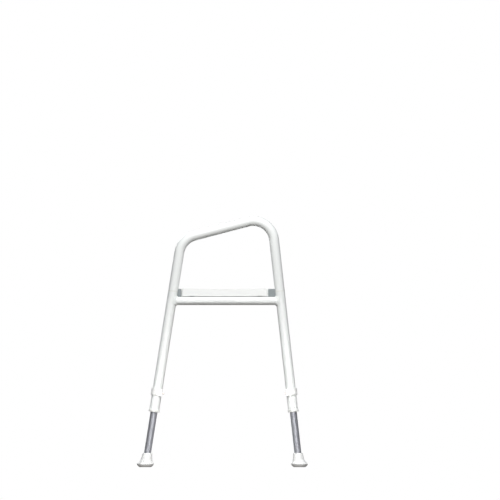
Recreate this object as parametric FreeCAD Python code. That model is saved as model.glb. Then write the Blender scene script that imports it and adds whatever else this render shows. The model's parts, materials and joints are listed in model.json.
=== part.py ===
import FreeCAD, Part
import os
from math import hypot, tan
from FreeCAD import Vector

# Shower stool with two armrest loops. Millimetres.
# +X is the front, where the user faces, +Y is the user's left and +Z is up.
# The origin is on the floor, in the middle of the four feet.

# --- driving dimensions ---------------------------------------------------

# frame as a whole
foot_spread = 441.0          # rear to front foot, centre to centre on the floor
side_spacing = 450.0         # left to right side frame, centre to centre
rear_lean = 0.1584           # forward travel of the rear leg for each mm of height
front_lean = 0.1117          # rearward travel of the front leg for each mm of height
rail_height = 476.0          # centreline of the side rails and cross members
arm_rear_rise = 141.0        # seat's rim to where the rear leg's line meets the armrest's
arm_front_rise = 208.3       # the same at the front
arm_bend_radius = 60.0       # centreline radius of both bends
loop_joint_rise = 27.5       # rail to the collar between armrest loop and leg tube

# tubes: outside diameters and walls
leg_diameter = 28.0
leg_wall = 1.5
rail_diameter = 25.0
rail_wall = 1.5
cross_diameter = 22.0
cross_wall = 1.5
cross_rear_inset = 12.0      # clear distance from a leg to the cross member beside it
cross_front_inset = 12.0
weld_size = 2.6
weld_edge = 1.0              # how far a bead stands out at the sides of a rail

# connector between an armrest loop and a leg tube
collar_height = 4.0
collar_proud = 0.3
spigot_length = 28.0
spigot_bore = 21.0

# telescopic leg
bush_flange_height = 7.2
bush_flange_proud = 1.6
bush_length = 35.0
extension_diameter = 20.0
extension_wall = 1.5
extension_spare = 37.5       # tube left above the pin at the highest setting
guide_head_height = 12.0
guide_spigot_length = 20.0
hole_pitch = 25.0            # one step of the height setting
steps_out = 2                # steps left for a higher seat
steps_in = 4                 # steps left for a lower seat
lowest_gap = 17.3            # foot to bush at the lowest setting

# foot
foot_height = 40.5
foot_top_diameter = 27.2
foot_neck_diameter = 34.0    # where the neck runs out into the flare
foot_neck_height = 19.0
foot_rim_diameter = 49.0
foot_rim_height = 9.0
foot_sole_diameter = 33.0
foot_hollow = 1.2            # how far the neck draws in between its ends
foot_top_round = 1.0
foot_floor = 7.0             # thickness under the washer
washer_thickness = 1.5

# locking clip and its pin
clip_height = 20.0
clip_above_bush = 14.5       # middle of the clip above the bush's upper end
clip_wall = 3.0
clip_arm_reach = 0.5         # how far the arms run past the inner side of the tube
clip_edge_round = 1.2
pin_diameter = 4.0
pin_drop = 2.0               # pin below the middle of the clip
pin_end = 6.5                # bare end past the inner side of the tube
pin_tip = 0.8

# seat
seat_rail_gap = 1.5          # skirt's foot above the rail's top
seat_skirt_height = 21.0
seat_wall = 2.5
seat_plate = 3.0
seat_over_rail = 10.0        # outside of the skirt past the rail's middle
seat_dish = 10.0             # depth of the dished top
seat_rear_gap = 10.5         # seat top's edge to the rear leg, over the rail
seat_front_gap = 22.5
seat_rear_flare = 2.0        # how far each end of the side skirt slopes out to its foot
seat_front_flare = 4.0
lip_leg_gap = 8.0            # each end of the front and rear lips to a leg
lip_rear_reach = 16.0        # how far each lip runs past a leg's inner side
lip_front_reach = 16.0
lip_corner_radius = 28.0
skirt_corner_radius = 5.0
seat_edge_round = 3.0
rib_thickness = 2.0
rib_depth = 6.0
rib_pitch = 58.0
rib_spread_x = 170.0         # between the two ribs that run from side to side
drain_width = 6.0
drain_length = 34.0
drain_pitch_x = 42.0
drain_rows = 3
drain_columns = 6            # even, so that the slots lie between the ribs
lug_length = 12.0
lug_rear_inset = 44.0        # middle of a lug from the leg beside it
lug_front_inset = 46.0
lug_finger = 4.0
lug_drop = 0.6               # outer part of a lug below the skirt's foot
lug_finger_end = 2.0         # finger's end below the rail's centreline

# corner block between a leg and the seat's skirt
block_half_width = 7.2       # outside of the block from the rail's middle
block_inner_width = 19.0
block_below_seat = 1.0       # top of the block under the seat's top
block_seat_gap = 0.5
block_wrap = 5.0             # how far it reaches past the leg's inner side
block_rail_cover = 1.0       # how far its outer part comes down over the rail's top

# clearances
fit_gap = 0.05               # fixed plastic parts in a tube
running_gap = 0.08           # parts that slide in a tube
hole_gap = 0.1               # pin in its holes, on the radius
rest_gap = 0.3               # parts that rest on a tube
tiny = 0.01

# --- values that follow ---------------------------------------------------

leg_radius = leg_diameter / 2
leg_bore = leg_radius - leg_wall
rail_radius = rail_diameter / 2
cross_radius = cross_diameter / 2
extension_radius = extension_diameter / 2
pin_radius = pin_diameter / 2
half_spacing = side_spacing / 2
rail_top = rail_height + rail_radius
seat_foot_height = rail_top + seat_rail_gap
seat_top_height = seat_foot_height + seat_skirt_height
seat_half_width = half_spacing + seat_over_rail
lip_half_width = half_spacing - leg_radius - lip_leg_gap
loop_joint_height = rail_height + loop_joint_rise
arm_rear_height = seat_top_height + arm_rear_rise
arm_front_height = seat_top_height + arm_front_rise
leg_tube_end = foot_height + steps_in * hole_pitch + lowest_gap + bush_flange_height
clip_centre_height = leg_tube_end + bush_length + clip_above_bush
pin_height = clip_centre_height - pin_drop
extension_top = pin_height + steps_out * hole_pitch + extension_spare
up = Vector(0, 0, 1)


class Leg:
    """One leg's centreline: forward is +1 for a front leg, side is +1 for the left."""

    def __init__(self, forward, side):
        self.forward = forward
        self.side = side
        self.name = ("front" if forward > 0 else "rear") + ("_left" if side > 0 else "_right")
        self.lean = -front_lean if forward > 0 else rear_lean
        self.axis = Vector(self.lean, 0, 1).normalize()
        self.outward = Vector(self.axis.z, 0, -self.axis.x) * forward

    def at(self, height):
        """Point of the centreline at a height above the floor."""
        return Vector(self.forward * foot_spread / 2 + self.lean * height, self.side * half_spacing, height)

    def inner_x(self, height):
        """X of the tube's side that faces the middle of the stool."""
        return self.at(height).x - self.forward * leg_radius / self.axis.z

    def rod(self, radius, low, high):
        """Solid cylinder on the centreline between two heights."""
        return Part.makeCylinder(radius, (high - low) / self.axis.z, self.at(low), self.axis)

    def tube(self, outer, inner, low, high):
        return self.rod(outer, low, high).cut(self.rod(inner, low - 1, high + 1))

    def cross_rod(self, radius, centre, start, end):
        """Cylinder square to the leg, along its outward direction, from start to end."""
        return Part.makeCylinder(radius, end - start, centre + self.outward * start, self.outward)


legs = [Leg(forward, side) for forward in (1, -1) for side in (1, -1)]


def leg_of(forward, side):
    return next(leg for leg in legs if leg.forward == forward and leg.side == side)


def rod_x(radius, x_low, x_high, y, z):
    return Part.makeCylinder(radius, x_high - x_low, Vector(x_low, y, z), Vector(1, 0, 0))


def rod_y(radius, x, y_low, y_high, z):
    return Part.makeCylinder(radius, y_high - y_low, Vector(x, y_low, z), Vector(0, 1, 0))


def box(x_low, x_high, y_low, y_high, z_low, z_high):
    x_low, x_high = sorted((x_low, x_high))
    y_low, y_high = sorted((y_low, y_high))
    return Part.makeBox(x_high - x_low, y_high - y_low, z_high - z_low, Vector(x_low, y_low, z_low))


def side_prism(points, y_low, y_high):
    """Outline of (x, z) points in a side view, given its width from y_low to y_high."""
    corners = [Vector(x, y_low, z) for x, z in points]
    face = Part.Face(Part.makePolygon(corners + corners[:1]))
    return face.extrude(Vector(0, y_high - y_low, 0))


# --- frame ----------------------------------------------------------------


def rounded_path(corners, radius):
    """Straight runs through the corners, each inner corner replaced by a tangent arc."""
    edges = []
    start = corners[0]
    for before, corner, after in zip(corners, corners[1:], corners[2:]):
        into = (corner - before).normalize()
        out = (after - corner).normalize()
        cut = radius * tan(into.getAngle(out) / 2)
        arc_start = corner - into * cut
        arc_end = corner + out * cut
        bisector = (out - into).normalize()
        middle = corner + bisector * (hypot(radius, cut) - radius)
        edges.append(Part.LineSegment(start, arc_start).toShape())
        edges.append(Part.Arc(arc_start, middle, arc_end).toShape())
        start = arc_end
    edges.append(Part.LineSegment(start, corners[-1]).toShape())
    return Part.Wire(edges)


def swept_rod(path, radius, start, direction):
    circle = Part.Wire([Part.makeCircle(radius, start, direction)])
    return path.makePipeShell([circle], True, False)


def arm_loop(side):
    """One bent tube: up from the rear leg, along the arm and down to the front leg."""
    rear = leg_of(-1, side)
    front = leg_of(1, side)
    foot_of_loop = loop_joint_height + collar_height / 2
    corners = [
        rear.at(foot_of_loop),
        rear.at(arm_rear_height),
        front.at(arm_front_height),
        front.at(foot_of_loop),
    ]
    path = rounded_path(corners, arm_bend_radius)
    outside = swept_rod(path, leg_radius, corners[0], rear.axis)
    inside = swept_rod(path, leg_bore, corners[0], rear.axis)
    return outside.cut(inside)


def leg_tube(leg):
    """Outer leg tube with the pin's hole through both walls."""
    top = loop_joint_height - collar_height / 2
    tube = leg.tube(leg_radius, leg_bore, leg_tube_end, top)
    reach = leg_radius + 5
    return tube.cut(leg.cross_rod(pin_radius + hole_gap, leg.at(pin_height), -reach, reach))


def loop_connector(leg):
    """Plastic plug in both tube ends, with a collar that shows as a thin ring."""
    low = loop_joint_height - collar_height / 2
    high = loop_joint_height + collar_height / 2
    collar = leg.rod(leg_radius + collar_proud, low, high)
    spigot = leg.rod(leg_bore - fit_gap, low - spigot_length, high + spigot_length)
    bore = leg.rod(spigot_bore / 2, low - spigot_length - 1, high + spigot_length + 1)
    return collar.fuse(spigot).cut(bore)


def rail_axis_ends(side):
    rear = leg_of(-1, side)
    front = leg_of(1, side)
    return rear.at(rail_height).x, front.at(rail_height).x


def side_rail(side):
    """Tube between the two legs of a side, its ends coped to them."""
    x_rear, x_front = rail_axis_ends(side)
    y = side * half_spacing
    rail = rod_x(rail_radius, x_rear, x_front, y, rail_height)
    rail = rail.cut(rod_x(rail_radius - rail_wall, x_rear - 1, x_front + 1, y, rail_height))
    for forward in (1, -1):
        leg = leg_of(forward, side)
        rail = rail.cut(leg.rod(leg_radius, rail_height - leg_diameter, rail_height + leg_diameter))
    return rail


def rail_weld(leg):
    """Bead that runs round a rail's coped end."""
    reach = leg_diameter
    x_leg = leg.at(rail_height).x
    x_low, x_high = sorted((x_leg, x_leg - leg.forward * reach))
    y = leg.side * half_spacing
    low = rail_height - reach
    high = rail_height + reach
    bead = rod_x(rail_radius + weld_size, x_low, x_high, y, rail_height)
    bead = bead.common(leg.rod(leg_radius + weld_size, low, high))
    half = rail_radius + weld_edge
    bead = bead.common(box(x_low, x_high, y - half, y + half, low, high))
    bead = bead.cut(leg.rod(leg_radius, low, high))
    return bead.cut(rod_x(rail_radius, x_low - 1, x_high + 1, y, rail_height))


def cross_x(forward):
    """X of a cross member's centreline, set in from the legs."""
    inset = cross_front_inset if forward > 0 else cross_rear_inset
    return leg_of(forward, 1).inner_x(rail_height) - forward * (inset + cross_radius)


def cross_member(forward):
    """Tube between the side rails, its ends coped to them."""
    x = cross_x(forward)
    tube = rod_y(cross_radius, x, -half_spacing, half_spacing, rail_height)
    tube = tube.cut(rod_y(cross_radius - cross_wall, x, -half_spacing - 1, half_spacing + 1, rail_height))
    for side in (1, -1):
        x_rear, x_front = rail_axis_ends(side)
        tube = tube.cut(rod_x(rail_radius, x_rear, x_front, side * half_spacing, rail_height))
    return tube


def cross_weld(forward, side):
    x = cross_x(forward)
    y_low, y_high = sorted((side * half_spacing, side * (half_spacing - leg_diameter)))
    x_rear, x_front = rail_axis_ends(side)
    rail_y = side * half_spacing
    bead = rod_y(cross_radius + weld_size, x, y_low, y_high, rail_height)
    bead = bead.common(rod_x(rail_radius + weld_size, x_rear, x_front, rail_y, rail_height))
    bead = bead.cut(rod_x(rail_radius, x_rear, x_front, rail_y, rail_height))
    return bead.cut(rod_y(cross_radius, x, y_low - 1, y_high + 1, rail_height))


# --- telescopic leg -------------------------------------------------------


def leg_bush(leg):
    """Flanged plastic bush in the lower end of the outer tube."""
    low = leg_tube_end - bush_flange_height
    flange = leg.rod(leg_radius + bush_flange_proud, low, leg_tube_end)
    rims = [edge for edge in flange.Edges if edge.Curve.TypeId == "Part::GeomCircle"]
    flange = flange.makeFillet(bush_flange_proud, rims)
    sleeve = leg.rod(leg_bore - fit_gap, leg_tube_end - 1, leg_tube_end + bush_length)
    bore = leg.rod(extension_radius + running_gap, low - 1, leg_tube_end + bush_length + 1)
    return flange.fuse(sleeve).cut(bore)


def extension_tube(leg):
    """Inner leg tube with a row of holes for the pin, one hole pitch apart."""
    low = foot_floor + washer_thickness
    tube = leg.tube(extension_radius, extension_radius - extension_wall, low, extension_top)
    reach = extension_radius + 5
    for step in range(-steps_in, steps_out + 1):
        centre = leg.at(pin_height) + leg.axis * (step * hole_pitch)
        tube = tube.cut(leg.cross_rod(pin_radius + hole_gap, centre, -reach, reach))
    return tube


def guide_plug(leg):
    """Plastic plug in the extension's top that guides it in the outer tube."""
    head = leg.rod(leg_bore - running_gap, extension_top, extension_top + guide_head_height)
    bore = extension_radius - extension_wall - fit_gap
    return head.fuse(leg.rod(bore, extension_top - guide_spigot_length, extension_top + 1))


def foot_ferrule(leg):
    """Moulded foot: a dished base that stands flat, a rim, and a neck drawn in along the leg."""
    base = leg.at(0)
    sole_radius = foot_sole_diameter / 2
    rim_radius = foot_rim_diameter / 2

    def point(radius, height):
        return Vector(base.x + radius, base.y, height)

    outline = Part.Wire([
        Part.LineSegment(point(0, 0), point(sole_radius, 0)).toShape(),
        Part.Arc(
            point(sole_radius, 0),
            point((sole_radius + rim_radius) / 2 + foot_hollow, foot_rim_height / 3),
            point(rim_radius, foot_rim_height),
        ).toShape(),
        Part.LineSegment(point(rim_radius, foot_rim_height), point(0, foot_rim_height)).toShape(),
        Part.LineSegment(point(0, foot_rim_height), point(0, 0)).toShape(),
    ])
    bowl = Part.Face(outline).revolve(base, up, 360)

    def ring(radius, height, centre):
        return Part.Wire([Part.makeCircle(radius, Vector(centre.x, centre.y, height), up)])

    middle = (foot_neck_height + foot_height) / 2
    middle_radius = (foot_neck_diameter + foot_top_diameter) / 4 - foot_hollow
    neck = Part.makeLoft(
        [
            ring(rim_radius, foot_rim_height, base),
            ring(foot_neck_diameter / 2, foot_neck_height, leg.at(foot_neck_height)),
            ring(middle_radius, middle, leg.at(middle)),
            ring(foot_top_diameter / 2, foot_height, leg.at(foot_height)),
        ],
        True,
        False,
    )
    top_rim = [edge for edge in neck.Edges if edge.BoundBox.ZMin > foot_height - tiny]
    neck = neck.makeFillet(foot_top_round, top_rim)
    return bowl.fuse(neck).cut(leg.rod(extension_radius + fit_gap, foot_floor, foot_height + 10))


def foot_washer(leg):
    return leg.rod(extension_radius - hole_gap, foot_floor, foot_floor + washer_thickness)


def to_leg(leg, shape, height):
    """Moves a shape made about the origin, +X outward, onto a leg's line."""
    across = leg.axis.cross(leg.outward)
    place = FreeCAD.Matrix()
    place.A11, place.A21, place.A31 = leg.outward.x, leg.outward.y, leg.outward.z
    place.A12, place.A22, place.A32 = across.x, across.y, across.z
    place.A13, place.A23, place.A33 = leg.axis.x, leg.axis.y, leg.axis.z
    place.A14, place.A24, place.A34 = leg.at(height).x, leg.at(height).y, leg.at(height).z
    moved = shape.copy()
    moved.transformShape(place)
    return moved


def lock_clip(leg):
    """Plastic saddle that slides on from outside and carries the pin."""
    inner = leg_radius + hole_gap
    outer = inner + clip_wall
    arm = leg_radius + clip_arm_reach
    start = Vector(0, 0, -clip_height / 2)
    body = Part.makeCylinder(outer, clip_height, start, up)
    body = body.common(box(0, outer, -outer, outer, -clip_height, clip_height))
    body = body.fuse(box(-arm, 0, -outer, outer, -clip_height / 2, clip_height / 2)).removeSplitter()
    body = body.makeFillet(clip_edge_round, body.Edges)
    hollow = Part.makeCylinder(inner, clip_height + 2, start - up, up)
    hollow = hollow.fuse(box(-arm - 1, 0, -inner, inner, -clip_height, clip_height))
    body = body.cut(hollow)
    socket = Part.makeCylinder(pin_radius, outer, Vector(0, 0, -pin_drop), Vector(1, 0, 0))
    deep = outer - clip_wall / 3
    socket = socket.common(box(0, deep, -outer, outer, -clip_height, clip_height))
    return to_leg(leg, body.cut(socket), clip_centre_height)


def lock_pin(leg):
    """Steel pin moulded into the clip; its bare end shows inside the leg."""
    tip = -leg_radius - pin_end
    seat = leg_radius + hole_gap + clip_wall * 2 / 3
    pin = Part.makeCylinder(pin_radius, seat - tip, Vector(tip, 0, -pin_drop), Vector(1, 0, 0))
    nose = [edge for edge in pin.Edges if edge.CenterOfMass.x < tip + tiny]
    pin = pin.makeChamfer(pin_tip, nose)
    return to_leg(leg, pin, clip_centre_height)


# --- seat and corner blocks -------------------------------------------------

seat_rear_x = leg_of(-1, 1).inner_x(seat_top_height) + seat_rear_gap
seat_front_x = leg_of(1, 1).inner_x(seat_top_height) - seat_front_gap
lip_rear_x = leg_of(-1, 1).inner_x(seat_top_height) - lip_rear_reach
lip_front_x = leg_of(1, 1).inner_x(seat_top_height) + lip_front_reach
seat_middle_x = (lip_rear_x + lip_front_x) / 2
dish_reach = hypot(seat_half_width, (seat_front_x - seat_rear_x) / 2)
dish_radius = (dish_reach**2 + seat_dish**2) / (2 * seat_dish)


def seat_block(inset, low, high):
    """Outline of the seat, inset all round: a part over the rails and two lips."""
    rise = (seat_top_height - low) / seat_skirt_height
    drop = (seat_top_height - high) / seat_skirt_height
    half = seat_half_width - inset
    over_rails = side_prism(
        [
            (seat_rear_x + inset - seat_rear_flare * rise, low),
            (seat_front_x - inset + seat_front_flare * rise, low),
            (seat_front_x - inset + seat_front_flare * drop, high),
            (seat_rear_x + inset - seat_rear_flare * drop, high),
        ],
        -half,
        half,
    )
    upright = [edge for edge in over_rails.Edges if abs(edge.CenterOfMass.y) > half - tiny]
    upright = [edge for edge in upright if low + 1 < edge.CenterOfMass.z < high - 1]
    over_rails = over_rails.makeFillet(skirt_corner_radius - inset / 2, upright)
    lip = box(
        lip_rear_x + inset,
        lip_front_x - inset,
        inset - lip_half_width,
        lip_half_width - inset,
        low,
        high,
    )
    corners = [edge for edge in lip.Edges if low + 1 < edge.CenterOfMass.z < high - 1]
    lip = lip.makeFillet(lip_corner_radius - inset, corners)
    return over_rails.fuse(lip).removeSplitter()


def dish(offset):
    """Ball whose underside is the seat's dished top, or lies offset below it."""
    lowest = seat_top_height - seat_dish
    return Part.makeSphere(dish_radius + offset, Vector(seat_middle_x, 0, lowest + dish_radius))


def lug_x(forward):
    inset = lug_front_inset if forward > 0 else lug_rear_inset
    return leg_of(forward, 1).inner_x(rail_height) - forward * inset


def lug(forward, side):
    """Saddle under the seat that sits on a rail, with a finger down its inner side."""
    x = lug_x(forward)
    inner = half_spacing - rail_radius - rest_gap
    outer = seat_half_width - seat_wall / 2
    top = seat_top_height - seat_dish / 2
    body = box(
        x - lug_length / 2,
        x + lug_length / 2,
        side * (inner - lug_finger),
        side * outer,
        seat_foot_height - lug_drop,
        top,
    )
    finger = box(
        x - lug_length / 2,
        x + lug_length / 2,
        side * (inner - lug_finger),
        side * inner,
        rail_height - lug_finger_end,
        top,
    )
    x_rear, x_front = rail_axis_ends(side)
    rail = rod_x(rail_radius + rest_gap, x_rear, x_front, side * half_spacing, rail_height)
    return body.fuse(finger).cut(rail)


def seat_ribs():
    """Plates that stiffen the shell from below, cut to its hollow afterwards."""
    low = seat_top_height - seat_dish - seat_plate - rib_depth
    half = rib_thickness / 2
    count = int((lip_half_width - seat_wall) / rib_pitch)
    ribs = []
    for index in range(-count, count + 1):
        y = index * rib_pitch
        ribs.append(box(lip_rear_x, lip_front_x, y - half, y + half, low, seat_top_height))
    for x in (seat_middle_x - rib_spread_x / 2, seat_middle_x + rib_spread_x / 2):
        ribs.append(box(x - half, x + half, -seat_half_width, seat_half_width, low, seat_top_height))
    return Part.makeCompound(ribs)


def drain_slot(x, y):
    """Round-ended slot through the plate, its length along X."""
    radius = drain_width / 2
    straight = (drain_length - drain_width) / 2
    low = seat_foot_height
    slot = box(x - straight, x + straight, y - radius, y + radius, low, seat_top_height)
    for end in (x - straight, x + straight):
        slot = slot.fuse(Part.makeCylinder(radius, seat_skirt_height, Vector(end, y, low), up))
    return slot


def seat():
    """One moulded shell: dished top, side skirts, lips, ribs, drain slots and lugs."""
    shell = seat_block(0, seat_foot_height, seat_top_height + seat_edge_round)
    rim = [edge for edge in shell.Edges if edge.CenterOfMass.z > seat_top_height + seat_edge_round - tiny]
    shell = shell.makeFillet(seat_edge_round, rim)
    shell = shell.cut(dish(0))
    hollow = seat_block(seat_wall, seat_foot_height - 1, seat_top_height)
    hollow = hollow.cut(dish(seat_plate)).cut(seat_ribs())
    shell = shell.cut(hollow)
    for row in range(drain_rows):
        x = seat_middle_x + (row - (drain_rows - 1) / 2) * drain_pitch_x
        for column in range(drain_columns):
            y = (column - (drain_columns - 1) / 2) * rib_pitch
            shell = shell.cut(drain_slot(x, y))
    for forward in (1, -1):
        for side in (1, -1):
            shell = shell.fuse(lug(forward, side).cut(dish(0)))
    return shell.removeSplitter()


def corner_block(leg):
    """Block on the end of a rail, hollowed to the rail and the leg, level with the seat."""
    forward = leg.forward
    side = leg.side
    low = rail_top - block_rail_cover
    high = seat_top_height - block_below_seat
    seat_x = seat_front_x if forward > 0 else seat_rear_x
    flare = seat_front_flare if forward > 0 else seat_rear_flare
    seat_side = seat_x + forward * (flare + block_seat_gap)
    leg_side = leg.inner_x(low) + forward * block_wrap
    rail_y = side * half_spacing
    outer = rail_y + side * block_half_width
    inner = rail_y - side * block_inner_width
    block = box(seat_side, leg_side, inner, outer, low, high)
    x_rear, x_front = rail_axis_ends(side)
    bottom = rail_height - leg_diameter
    top = seat_top_height + 5
    weld_room = weld_size + rest_gap
    block = block.cut(rod_x(rail_radius + rest_gap, x_rear, x_front, rail_y, rail_height))
    block = block.cut(leg.rod(leg_radius + collar_proud + rest_gap, bottom, top))
    rail_weld_room = rod_x(rail_radius + weld_room, x_rear, x_front, rail_y, rail_height)
    block = block.cut(rail_weld_room.common(leg.rod(leg_radius + weld_room, bottom, top)))
    y_low, y_high = sorted((inner, rail_y + side * rest_gap))
    return block.cut(rod_y(cross_radius + weld_room, cross_x(forward), y_low, y_high, rail_height))


def write(name, shape):
    shape.exportStep("parts/" + name + ".step")
    print(name, len(shape.Solids), round(shape.Volume, 1), shape.isValid())


os.makedirs("parts", exist_ok=True)
for side, name in ((1, "left"), (-1, "right")):
    write("arm_loop_" + name, arm_loop(side))
    write("side_rail_" + name, side_rail(side))
write("cross_member_front", cross_member(1))
write("cross_member_rear", cross_member(-1))
write("rail_welds", Part.makeCompound([rail_weld(leg) for leg in legs]))
write("cross_member_welds", Part.makeCompound([cross_weld(f, s) for f in (1, -1) for s in (1, -1)]))
for leg in legs:
    write("leg_tube_" + leg.name, leg_tube(leg))
    write("loop_connector_" + leg.name, loop_connector(leg))
    write("leg_bush_" + leg.name, leg_bush(leg))
    write("extension_tube_" + leg.name, extension_tube(leg))
    write("guide_plug_" + leg.name, guide_plug(leg))
    write("foot_" + leg.name, foot_ferrule(leg))
    write("foot_washer_" + leg.name, foot_washer(leg))
    write("lock_clip_" + leg.name, lock_clip(leg))
    write("lock_pin_" + leg.name, lock_pin(leg))
    write("corner_block_" + leg.name, corner_block(leg))
write("seat", seat())
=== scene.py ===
import json
from math import atan2, ceil, cos, pi, radians, sin, sqrt

import bpy
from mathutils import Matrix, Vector


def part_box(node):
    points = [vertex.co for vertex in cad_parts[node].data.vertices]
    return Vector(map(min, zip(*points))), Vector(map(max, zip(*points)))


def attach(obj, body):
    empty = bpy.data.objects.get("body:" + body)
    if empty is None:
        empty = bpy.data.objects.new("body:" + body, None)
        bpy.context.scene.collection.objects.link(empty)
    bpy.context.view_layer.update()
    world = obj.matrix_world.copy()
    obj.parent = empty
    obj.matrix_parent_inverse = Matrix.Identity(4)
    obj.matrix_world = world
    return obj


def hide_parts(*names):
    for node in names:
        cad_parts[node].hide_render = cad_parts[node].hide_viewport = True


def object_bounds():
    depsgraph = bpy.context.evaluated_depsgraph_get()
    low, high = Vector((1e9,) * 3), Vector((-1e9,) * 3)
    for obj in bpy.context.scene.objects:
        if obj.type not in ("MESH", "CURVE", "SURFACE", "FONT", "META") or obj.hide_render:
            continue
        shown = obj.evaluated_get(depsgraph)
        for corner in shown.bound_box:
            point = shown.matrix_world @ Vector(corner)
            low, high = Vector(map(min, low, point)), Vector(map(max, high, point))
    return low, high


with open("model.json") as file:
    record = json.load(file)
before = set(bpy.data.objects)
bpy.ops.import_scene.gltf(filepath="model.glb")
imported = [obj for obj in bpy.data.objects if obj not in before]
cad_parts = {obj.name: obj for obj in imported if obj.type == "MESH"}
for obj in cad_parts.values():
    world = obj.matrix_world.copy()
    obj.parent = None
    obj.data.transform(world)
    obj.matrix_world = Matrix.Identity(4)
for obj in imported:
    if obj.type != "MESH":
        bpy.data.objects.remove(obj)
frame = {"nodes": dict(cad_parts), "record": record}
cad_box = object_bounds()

# --- Painted frame tubes ---
# The armrest loops, outer leg tubes, side rails and cross members are round aluminium tube,
# 28, 25 and 22 mm, welded together and then powder coated white as one frame.

mm = 0.001
sides = ("left", "right")
corners = [f"{end}_{side}" for end in ("front", "rear") for side in sides]


def srgb(code):
    """Linear colour from an sRGB hex code."""
    parts = [int(code[i:i + 2], 16) / 255 for i in (0, 2, 4)]
    line = [c / 12.92 if c <= 0.04045 else ((c + 0.055) / 1.055) ** 2.4 for c in parts]
    return (*line, 1.0)


def add(tree, kind, links=(), **settings):
    """Adds a node, sets its properties or sockets by name, and links (socket, output) pairs to it."""
    node = tree.nodes.new(kind)
    for name, value in settings.items():
        if hasattr(node, name):
            setattr(node, name, value)
        else:
            node.inputs[name.replace("_", " ")].default_value = value
    for socket, output in links:
        tree.links.new(output, node.inputs[socket])
    return node


def new_material(name):
    """Empty material, its node tree and the piece's own coordinates in metres."""
    material = bpy.data.materials.new(name)
    material.use_nodes = True
    tree = material.node_tree
    tree.nodes.clear()
    return material, tree, add(tree, "ShaderNodeTexCoord").outputs["Object"]


def surface(tree, **parts):
    """The shader and the material's output; keyword pairs are sockets and outputs or plain values."""
    shader = add(tree, "ShaderNodeBsdfPrincipled")
    for name, value in parts.items():
        socket = shader.inputs[name.replace("_", " ")]
        if isinstance(value, bpy.types.NodeSocket):
            tree.links.new(value, socket)
        else:
            socket.default_value = value
    add(tree, "ShaderNodeOutputMaterial", [("Surface", shader.outputs["BSDF"])])


def blend_colours(tree, factor, first, second):
    mix = add(tree, "ShaderNodeMix", data_type="RGBA", A=srgb(first), B=srgb(second))
    tree.links.new(factor, mix.inputs["Factor"])
    return mix.outputs["Result"]


def powder_coated_aluminium():
    """Baked polyester powder: bright white, a soft gloss and the faint orange peel of flowed powder."""
    peel_mm = 2.0
    cloud_mm = 120
    material, tree, place = new_material("powder_coated_aluminium")
    peel = add(tree, "ShaderNodeTexNoise", [("Vector", place)], Scale=1000 / peel_mm, Detail=2.0)
    cloud = add(tree, "ShaderNodeTexNoise", [("Vector", place)], Scale=1000 / cloud_mm, Detail=3.0)
    gloss = add(tree, "ShaderNodeMapRange", [("Value", cloud.outputs["Fac"])], To_Min=0.24, To_Max=0.34)
    bump = add(tree, "ShaderNodeBump", [("Height", peel.outputs["Fac"])], Strength=0.25, Distance=0.05 * mm)
    surface(tree, Base_Color=blend_colours(tree, cloud.outputs["Fac"], "F3F5F3", "EFF1EE"),
            Roughness=gloss.outputs["Result"], Normal=bump.outputs["Normal"], IOR=1.5)
    return material


def dress(names, material):
    """Gives nodes that stay as they come their finish."""
    for name in names:
        slots = frame["nodes"][name].data.materials
        slots.clear()
        slots.append(material)


powder_coat = powder_coated_aluminium()
dress([f"arm_loop_{side}" for side in sides], powder_coat)
dress([f"side_rail_{side}" for side in sides], powder_coat)
dress([f"leg_tube_{corner}" for corner in corners], powder_coat)
dress(["cross_member_front", "cross_member_rear"], powder_coat)

# --- Weld beads ---
# Each rail is welded all round to its two legs and each cross member to the two rails.
# The beads are hand laid, so they show the even ripple of the torch, softened by the paint.

bead_size = 3.6 * mm
bead_hollow = 0.34           # how far the face draws in towards the corner, as a share of the size
bead_ripple = 0.9 * mm
bead_pitch = 3.2 * mm        # from one ripple to the next
bead_root = 0.3 * mm         # how far the bead's root lies inside both tubes
bead_limit = 0.98            # share of the main tube's radius that the bead may reach round it
bead_steps = 8               # rings of points in each ripple
bead_arc = 6                 # points across the bead's face
tiny = 0.01                  # keeps a divisor off zero


def centre_of(name):
    low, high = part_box(name)
    return (Vector(low) + Vector(high)) / 2


def size_of(name):
    low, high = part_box(name)
    return Vector(high) - Vector(low)


leg_radius = size_of("leg_tube_front_left").y / 2
rail_radius = size_of("side_rail_left").z / 2
cross_radius = size_of("cross_member_front").z / 2
rail_height = centre_of("side_rail_left").z
soles = {mount["name"].removeprefix("sole_"): Vector(mount["pos_m"]) for mount in frame["record"]["mounts"]}
axes = {
    joint["name"].removeprefix("height_"): Vector(joint["axis"]).normalized()
    for joint in frame["record"]["behaviour"]["joints"]
    if joint["name"].startswith("height_")
}


def leg_at(corner, height):
    """Point of a leg's centreline at a height above the floor."""
    return soles[corner] + axes[corner] * (height / axes[corner].z)


def piece_of(name, verts, faces, material, body, replaced):
    """New piece on a body, smooth shaded, in place of the node it stands for."""
    mesh = bpy.data.meshes.new(name)
    mesh.from_pydata([tuple(vert) for vert in verts], [], faces)
    mesh.update()
    mesh.shade_smooth()
    mesh.materials.append(material)
    piece = bpy.data.objects.new(name, mesh)
    bpy.context.scene.collection.objects.link(piece)
    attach(piece, body)
    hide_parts(replaced)
    return piece


def ring_faces(rings, across, around=True):
    """Quads between rings of points; around closes the run of rings on itself."""
    faces = []
    for ring in range(rings if around else rings - 1):
        for point in range(across):
            here = ring * across
            after = (ring + 1) % rings * across
            step = (point + 1) % across
            faces.append((here + point, after + point, after + step, here + step))
    return faces


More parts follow.
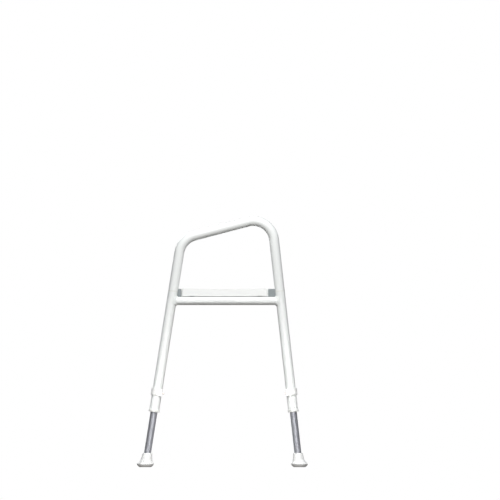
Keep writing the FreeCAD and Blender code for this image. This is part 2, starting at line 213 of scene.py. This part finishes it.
def bead(centre, main, main_radius, branch, branch_radius):
    """Points of one bead, where a branch tube leaves a main tube whose axes cross at the centre."""
    normal = main.cross(branch).normalized()
    square = normal.cross(main).normalized()
    side_on = branch.cross(normal).normalized()
    steps = ceil(2 * pi * branch_radius / bead_pitch) * bead_steps
    verts = []
    for step in range(steps):
        angle = 2 * pi * step / steps
        across = side_on * cos(angle) + normal * sin(angle)
        room = main_radius * bead_limit / max(abs(sin(angle)), tiny) - branch_radius
        reach = (bead_size**-3 + room**-3)**(-1 / 3)    # the smaller of the two, with a soft change
        wave = step % bead_steps / bead_steps
        crest = sqrt(1 - 0.9 * (2 * wave - 1)**2)       # round crests with sharp valleys between
        swell = bead_ripple * (crest - 0.5)
        # Each point stands lift off the branch tube and run out from the main tube.
        arc = [(-bead_root, -bead_root)]
        for point in range(bead_arc):
            turn = pi / 2 * point / (bead_arc - 1)
            full = 1 - bead_hollow * sin(2 * turn) + swell / bead_size * sin(2 * turn)
            arc.append((reach * sin(turn) * full, bead_size * cos(turn) * full))
        for lift, run in arc:
            offset = across * (branch_radius + lift)
            depth = sqrt(max(main_radius**2 - offset.dot(normal)**2, 0)) + run
            verts.append(centre + offset + branch * ((depth - offset.dot(square)) / branch.dot(square)))
    return verts, steps


def bead_group(name, joints, replaced):
    """All beads of one kind as one piece."""
    verts = []
    faces = []
    for joint in joints:
        points, steps = bead(*joint)
        start = len(verts)
        verts += points
        faces += [tuple(start + index for index in face) for face in ring_faces(steps, bead_arc + 1)]
    piece_of(name, verts, faces, powder_coat, "frame", replaced)


rail_joints = []
for corner in corners:
    inward = Vector((-1 if "front" in corner else 1, 0, 0))
    rail_joints.append((leg_at(corner, rail_height), axes[corner], leg_radius, inward, rail_radius))
bead_group("rail_beads", rail_joints, "rail_welds")
cross_joints = []
for end in ("front", "rear"):
    for side in sides:
        rail = centre_of("side_rail_" + side)
        meeting = Vector((centre_of("cross_member_" + end).x, rail.y, rail_height))
        inward = Vector((0, -1 if side == "left" else 1, 0))
        cross_joints.append((meeting, Vector((1, 0, 0)), rail_radius, inward, cross_radius))
bead_group("cross_member_beads", cross_joints, "cross_member_welds")

# --- Loop connectors, leg bushes and guide plugs ---
# Round parts injection moulded in white nylon and pressed into the tubes' ends. Only the
# connector's thin collar and the bush's flange show; the plug guides the inner leg.


def moulded_nylon():
    """Moulded white nylon: satin, a touch warmer than the paint, with a faint cloudy flow."""
    flow_mm = 14
    material, tree, place = new_material("moulded_nylon")
    flow = add(tree, "ShaderNodeTexNoise", [("Vector", place)], Scale=1000 / flow_mm, Detail=4.0)
    rough = add(tree, "ShaderNodeMapRange", [("Value", flow.outputs["Fac"])], To_Min=0.36, To_Max=0.46)
    bump = add(tree, "ShaderNodeBump", [("Height", flow.outputs["Fac"])], Strength=0.2, Distance=0.1 * mm)
    surface(tree, Base_Color=blend_colours(tree, flow.outputs["Fac"], "EFF0EC", "E9EAE5"),
            Roughness=rough.outputs["Result"], Normal=bump.outputs["Normal"], IOR=1.53)
    return material


nylon = moulded_nylon()
for kind in ("loop_connector", "leg_bush", "guide_plug"):
    dress([f"{kind}_{corner}" for corner in corners], nylon)

# --- Extension tubes ---
# 20 mm aluminium tube, drawn and then satin anodised in its natural grey. It slides in the
# outer leg, with a row of cross holes for the pin.


def anodised_aluminium(name, axis):
    """Drawn and anodised: fine lengthwise die lines under a soft, slightly cool metal sheen."""
    line_mm = 0.8                # real die lines are finer; drawn this coarse so that they show
    line_length_mm = 160
    material, tree, place = new_material(name)
    lean = atan2(axis.x, axis.z)
    upright = add(tree, "ShaderNodeMapping", [("Vector", place)], Rotation=(0, -lean, 0))
    stretch = add(tree, "ShaderNodeMapping", [("Vector", upright.outputs["Vector"])],
                  Scale=(1000 / line_mm, 1000 / line_mm, 1000 / line_length_mm))
    lines = add(tree, "ShaderNodeTexNoise", [("Vector", stretch.outputs["Vector"])], Scale=1.0, Detail=3.0)
    rough = add(tree, "ShaderNodeMapRange", [("Value", lines.outputs["Fac"])], To_Min=0.58, To_Max=0.7)
    bump = add(tree, "ShaderNodeBump", [("Height", lines.outputs["Fac"])], Strength=0.3, Distance=0.03 * mm)
    surface(tree, Base_Color=blend_colours(tree, lines.outputs["Fac"], "ACADB3", "9B9B9F"), Metallic=1.0,
            Roughness=rough.outputs["Result"], Normal=bump.outputs["Normal"])
    return material


for end in ("front", "rear"):
    drawn = anodised_aluminium(f"satin_anodised_aluminium_{end}", axes[f"{end}_left"])
    dress([f"extension_tube_{end}_{side}" for side in sides], drawn)

# --- Feet ---
# Flared feet moulded in a firm white elastomer and pushed over the extension tubes. The neck
# leans with the leg, the base stands flat, with a hollow and a groove in its sole for grip.

foot_turns = 40              # points round the foot
foot_lean_from = 9.2         # mm; below this height the foot is upright
foot_profile = [             # radius and height in mm, from the sole's middle round to the socket
    (0.01, 1.2), (4.6, 1.2), (5.2, 0.0), (5.8, 0.0),                    # hollow in the sole's middle
    (9.0, 0.0), (9.6, 1.2), (11.6, 1.2), (12.2, 0.0), (13.4, 0.0),      # tread groove
    (16.0, 0.0), (17.2, 0.5), (21.6, 3.6), (24.2, 7.6),                 # sole's edge and bowl
    (24.5, 9.2), (23.8, 10.8), (20.6, 13.4), (18.0, 16.6),              # rim and flare
    (16.7, 20.5), (15.2, 28.0), (13.9, 37.0), (13.7, 39.4),             # neck
    (13.1, 40.3), (12.0, 40.5), (10.6, 40.5), (10.1, 40.0),             # rounded mouth
    (10.05, 37.0), (10.05, 12.0), (10.05, 7.2), (9.0, 7.0), (0.01, 7.0),    # socket and its floor
]


def moulded_elastomer():
    """Moulded white elastomer: matt and slightly soft looking, with a fine even mould grain."""
    grain_mm = 0.9
    scuff_mm = 9
    material, tree, place = new_material("moulded_white_elastomer")
    grain = add(tree, "ShaderNodeTexNoise", [("Vector", place)], Scale=1000 / grain_mm, Detail=1.0)
    scuff = add(tree, "ShaderNodeTexNoise", [("Vector", place)], Scale=1000 / scuff_mm, Detail=5.0)
    bump = add(tree, "ShaderNodeBump", [("Height", grain.outputs["Fac"])], Strength=0.35, Distance=0.08 * mm)
    rough = add(tree, "ShaderNodeMapRange", [("Value", scuff.outputs["Fac"])], To_Min=0.55, To_Max=0.72)
    surface(tree, Base_Color=blend_colours(tree, scuff.outputs["Fac"], "F1F1EF", "E8E8E5"),
            Roughness=rough.outputs["Result"], Normal=bump.outputs["Normal"], IOR=1.5)
    return material


elastomer = moulded_elastomer()
for corner in corners:
    verts = []
    for radius, height in foot_profile:
        lift = height * mm
        share = min(max((height - foot_lean_from) / foot_lean_from, 0), 1)
        middle = soles[corner].lerp(leg_at(corner, lift), share)
        for turn in range(foot_turns):
            angle = 2 * pi * turn / foot_turns
            verts.append((middle.x + radius * mm * cos(angle), middle.y + radius * mm * sin(angle), lift))
    faces = [face[::-1] for face in ring_faces(len(foot_profile), foot_turns, around=False)]
    foot = piece_of(f"flared_foot_{corner}", verts, faces, elastomer, f"leg_{corner}",
                    f"foot_{corner}")
    foot.modifiers.new("smooth", "SUBSURF").render_levels = 1

# --- Foot washers and lock pins ---
# Plain turned stainless steel: a disc in each foot that spreads the tube's load, and the 4 mm
# pin of each clip, whose bare end stands out on the inner side of the leg.


def turned_stainless():
    """Turned stainless: bright metal whose sheen is broken up by the fine marks of the lathe."""
    mark_mm = 0.5                # coarser than the real feed marks, so that they show
    material, tree, place = new_material("turned_stainless_steel")
    marks = add(tree, "ShaderNodeTexNoise", [("Vector", place)], Scale=1000 / mark_mm, Detail=2.0)
    rough = add(tree, "ShaderNodeMapRange", [("Value", marks.outputs["Fac"])], To_Min=0.22, To_Max=0.4)
    bump = add(tree, "ShaderNodeBump", [("Height", marks.outputs["Fac"])], Strength=0.3, Distance=0.02 * mm)
    surface(tree, Base_Color=blend_colours(tree, marks.outputs["Fac"], "BDB5AC", "A29A92"), Metallic=1.0,
            Roughness=rough.outputs["Result"], Normal=bump.outputs["Normal"])
    return material


stainless = turned_stainless()
for kind in ("foot_washer", "lock_pin"):
    dress([f"{kind}_{corner}" for corner in corners], stainless)

# --- Locking clips ---
# Saddle clips moulded in white acetal. Each is pushed on from outside the leg, grips it with
# two arms and carries the pin through the leg and the extension tube.


def moulded_acetal():
    """Moulded white acetal: slick and a little glossier than the paint round it."""
    flow_mm = 6
    material, tree, place = new_material("moulded_white_acetal")
    flow = add(tree, "ShaderNodeTexNoise", [("Vector", place)], Scale=1000 / flow_mm, Detail=3.0)
    bump = add(tree, "ShaderNodeBump", [("Height", flow.outputs["Fac"])], Strength=0.15, Distance=0.1 * mm)
    surface(tree, Base_Color=blend_colours(tree, flow.outputs["Fac"], "F4F4F2", "EEEEEA"), Roughness=0.3,
            Normal=bump.outputs["Normal"], IOR=1.48)
    return material


clip_wall = 3.0 * mm
clip_clear = 0.1 * mm        # from the tube
clip_height = 20.0 * mm
clip_round = 1.1 * mm        # radius along the upper and lower edges
clip_bevel = 0.6 * mm        # on the ends of the arms
clip_arm = 0.5 * mm          # how far the arms run past the inner side of the tube
clip_arm_stops = (1.0, 0.75, 0.4)    # rings along each arm, as shares of its length
clip_turns = 24              # steps round the outer half
grip_reach = radians(38)     # the thumb grip covers this much to each side of the middle
grip_half = clip_height / 2.6    # and this much above and below it
grip_pitch = 3.2 * mm
grip_depth = 0.45 * mm
grip_rows = 31               # points down the outer face


def clip_section():
    """Depth through the wall, from inside out, and height of each point round the clip's wall."""
    half = clip_height / 2
    points = []
    for upper, first in ((1, 90), (-1, 180)):
        for degrees in (0, 30, 60, 90):
            turn = radians(first + degrees)
            depth = clip_round + clip_round * cos(turn)
            height = upper * (half - clip_round) + clip_round * sin(turn)
            points.append((depth, height))
    for row in range(grip_rows):
        height = (2 * row / (grip_rows - 1) - 1) * half
        inset = max(abs(height) - (half - clip_round), 0)
        points.append((clip_wall - clip_round + sqrt(max(clip_round**2 - inset**2, 0)), height))
    return points


def clip_path():
    """Place, outward normal and angle at each step along the U of the clip, from end to end."""
    radius = leg_radius + clip_clear
    arm = leg_radius + clip_arm
    path = [(-arm * stop, -radius, 0.0, -1.0, -pi / 2) for stop in clip_arm_stops]
    for turn in range(clip_turns + 1):
        angle = pi * turn / clip_turns - pi / 2
        path.append((radius * cos(angle), radius * sin(angle), cos(angle), sin(angle), angle))
    path += [(-arm * stop, radius, 0.0, 1.0, pi / 2) for stop in reversed(clip_arm_stops)]
    return path


acetal = moulded_acetal()
section = clip_section()
for corner in corners:
    axis = axes[corner]
    outward = Vector((axis.z, 0, -axis.x)) * (1 if "front" in corner else -1)
    across = axis.cross(outward)
    middle = leg_at(corner, centre_of(f"lock_clip_{corner}").z)
    verts = []
    for forward, side, forward_normal, side_normal, angle in clip_path():
        for depth, height in section:
            window = max(1 - (angle / grip_reach)**4, 0) * max(1 - (height / grip_half)**4, 0)
            grip = grip_depth * window * cos(2 * pi * height / grip_pitch) if depth > clip_wall / 2 else 0
            flat = outward * (forward + forward_normal * (depth + grip))
            verts.append(middle + flat + across * (side + side_normal * (depth + grip)) + axis * height)
    rings = len(verts) // len(section)
    faces = ring_faces(rings, len(section), around=False)
    faces.append(tuple(range(len(section)))[::-1])
    faces.append(tuple(range(len(verts) - len(section), len(verts))))
    clip = piece_of(f"saddle_clip_{corner}", verts, faces, acetal, f"clip_{corner}",
                    f"lock_clip_{corner}")
    edge = clip.modifiers.new("edge", "BEVEL")
    edge.width = clip_bevel
    edge.segments = 2
    edge.limit_method = "ANGLE"
    edge.angle_limit = radians(60)

# --- Corner blocks ---
# Solid blocks of grey polypropylene, hollowed to the rail and the leg. They fill each corner
# between a leg and the seat's skirt and keep the seat from sliding along the rails. Their mid
# grey is partly painted shade: it stands for the shade that falls in these corners.


def grey_plastic_in_painted_shade():
    """Moulded grey polypropylene: a mid grey that is partly painted shade, with a fine spark-eroded grain.
    """
    grain_mm = 1.0
    material, tree, place = new_material("grey_plastic_in_painted_shade")
    grain = add(tree, "ShaderNodeTexNoise", [("Vector", place)], Scale=1000 / grain_mm, Detail=2.0)
    bump = add(tree, "ShaderNodeBump", [("Height", grain.outputs["Fac"])], Strength=0.4, Distance=0.1 * mm)
    # Painted shade: this mid grey is set to the shade that falls between leg and seat skirt.
    surface(tree, Base_Color=blend_colours(tree, grain.outputs["Fac"], "959C9D", "8A9091"), Roughness=0.45,
            Normal=bump.outputs["Normal"], IOR=1.49)
    return material


block_voxel = 0.55 * mm
block_rounds = 6             # rounds of smoothing, which take the sharpness off the edges

painted_shade_grey = grey_plastic_in_painted_shade()
for corner in corners:
    form = frame["nodes"][f"corner_block_{corner}"].data.copy()
    form.materials.clear()
    form.materials.append(painted_shade_grey)
    block = bpy.data.objects.new(f"seat_corner_{corner}", form)
    bpy.context.scene.collection.objects.link(block)
    skin = block.modifiers.new("skin", "REMESH")
    skin.mode = "VOXEL"
    skin.voxel_size = block_voxel
    skin.use_smooth_shade = True
    soften = block.modifiers.new("soften", "SMOOTH")
    soften.factor = 0.5
    soften.iterations = block_rounds
    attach(block, "frame")
    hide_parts(f"corner_block_{corner}")

# --- Seat ---
# One shell injection moulded in white polypropylene: a shallow dish with drain slots, side
# skirts over the rails, ribs below and four lugs that snap over the rails.


def moulded_white_polypropylene():
    """Moulded white polypropylene: satin, with the fine leather-like grain etched in the mould."""
    grain_mm = 1.6
    cloud_mm = 83
    material, tree, place = new_material("moulded_white_polypropylene")
    grain = add(tree, "ShaderNodeTexVoronoi", [("Vector", place)], Scale=1000 / grain_mm)
    cloud = add(tree, "ShaderNodeTexNoise", [("Vector", place)], Scale=1000 / cloud_mm, Detail=4.0)
    bump = add(tree, "ShaderNodeBump", [("Height", grain.outputs["Distance"])], Strength=0.7,
               Distance=0.15 * mm)
    rough = add(tree, "ShaderNodeMapRange", [("Value", cloud.outputs["Fac"])], To_Min=0.38, To_Max=0.5)
    surface(tree, Base_Color=blend_colours(tree, cloud.outputs["Fac"], "F6F7F5", "F0F1EE"),
            Roughness=rough.outputs["Result"], Normal=bump.outputs["Normal"], IOR=1.49)
    return material


dress(["seat"], moulded_white_polypropylene())

# --- Studio ---
# A pale floor that the stool stands on and that fades into white, one large soft box on each
# side of the stool and a low one for its feet, and a camera square to its side.

stool = (Vector(cad_box[0]) + Vector(cad_box[1])) / 2


def floor_paper():
    """Matt pale paper that runs out into the white of the studio round it."""
    clear_from = 0.45
    clear_to = 1.15
    cloud_mm = 333
    material, tree, place = new_material("matt_pale_paper")
    far = add(tree, "ShaderNodeVectorMath", [("Vector", place)], operation="LENGTH")
    fade = add(tree, "ShaderNodeMapRange", [("Value", far.outputs["Value"])],
               interpolation_type="SMOOTHSTEP", From_Min=clear_from, From_Max=clear_to,
               To_Min=1.0, To_Max=0.0)
    cloud = add(tree, "ShaderNodeTexNoise", [("Vector", place)], Scale=1000 / cloud_mm, Detail=3.0)
    surface(tree, Base_Color=blend_colours(tree, cloud.outputs["Fac"], "E6E6E4", "E0E0DE"), Roughness=0.8,
            Alpha=fade.outputs["Result"])
    return material


floor_half = 4.0
floor_corners = [(x * floor_half, y * floor_half, 0) for x, y in ((-1, -1), (1, -1), (1, 1), (-1, 1))]
floor_mesh = bpy.data.meshes.new("floor")
floor_mesh.from_pydata(floor_corners, [], [(0, 1, 2, 3)])
floor_mesh.materials.append(floor_paper())
floor = bpy.data.objects.new("floor", floor_mesh)
bpy.context.scene.collection.objects.link(floor)
floor.visible_diffuse = False    # the paper stays pale, yet throws no light up at the undersides


def soft_box(name, place, aim, size, watts, spread=180):
    """Rectangular light at a place that shines at a point; a grid narrows its spread, in degrees."""
    data = bpy.data.lights.new(name, "AREA")
    data.shape = "RECTANGLE"
    data.size, data.size_y = size
    data.energy = watts
    data.spread = radians(spread)
    light = bpy.data.objects.new(name, data)
    light.location = place
    light.rotation_euler = (Vector(aim) - Vector(place)).to_track_quat("-Z", "Y").to_euler()
    light.visible_camera = False
    bpy.context.scene.collection.objects.link(light)


soft_box("near_key", (0.1, -1.7, 1.85), stool, (0.7, 0.5), 44)
soft_box("near_low", (0.0, -1.5, 0.12), (0.0, -0.2, 0.12), (0.8, 0.2), 0.9, spread=40)
soft_box("far_key", (-0.2, 1.8, 0.95), stool, (0.8, 0.6), 25)

# The room's own light is warm and dim from below and cool from above; the camera sees plain white.
world = bpy.data.worlds.new("studio")
world.use_nodes = True
bpy.context.scene.world = world
tree = world.node_tree
tree.nodes.clear()
up = add(tree, "ShaderNodeSeparateXYZ", [("Vector", add(tree, "ShaderNodeTexCoord").outputs["Generated"])])
rise = add(tree, "ShaderNodeMapRange", [("Value", up.outputs["Z"])], From_Min=-0.3, From_Max=0.3)
room_light = blend_colours(tree, rise.outputs["Result"], "84766A", "D8E2EE")
room = add(tree, "ShaderNodeBackground", [("Color", room_light)], Strength=0.25)
white = add(tree, "ShaderNodeBackground", Color=(1, 1, 1, 1), Strength=1.0)
both = add(tree, "ShaderNodeMixShader", [("Fac", add(tree, "ShaderNodeLightPath").outputs["Is Camera Ray"])])
tree.links.new(room.outputs["Background"], both.inputs[1])
tree.links.new(white.outputs["Background"], both.inputs[2])
add(tree, "ShaderNodeOutputWorld", [("Surface", both.outputs["Shader"])])

picture_width = 1.43         # metres across the whole picture
camera_data = bpy.data.cameras.new("camera")
camera_data.type = "ORTHO"
camera_data.ortho_scale = picture_width
camera = bpy.data.objects.new("camera", camera_data)
camera.location = (0.079, -3.0, 0.621)
camera.rotation_euler = (radians(90), 0, 0)
bpy.context.scene.collection.objects.link(camera)
bpy.context.scene.camera = camera
bpy.context.scene.view_settings.view_transform = "Standard"
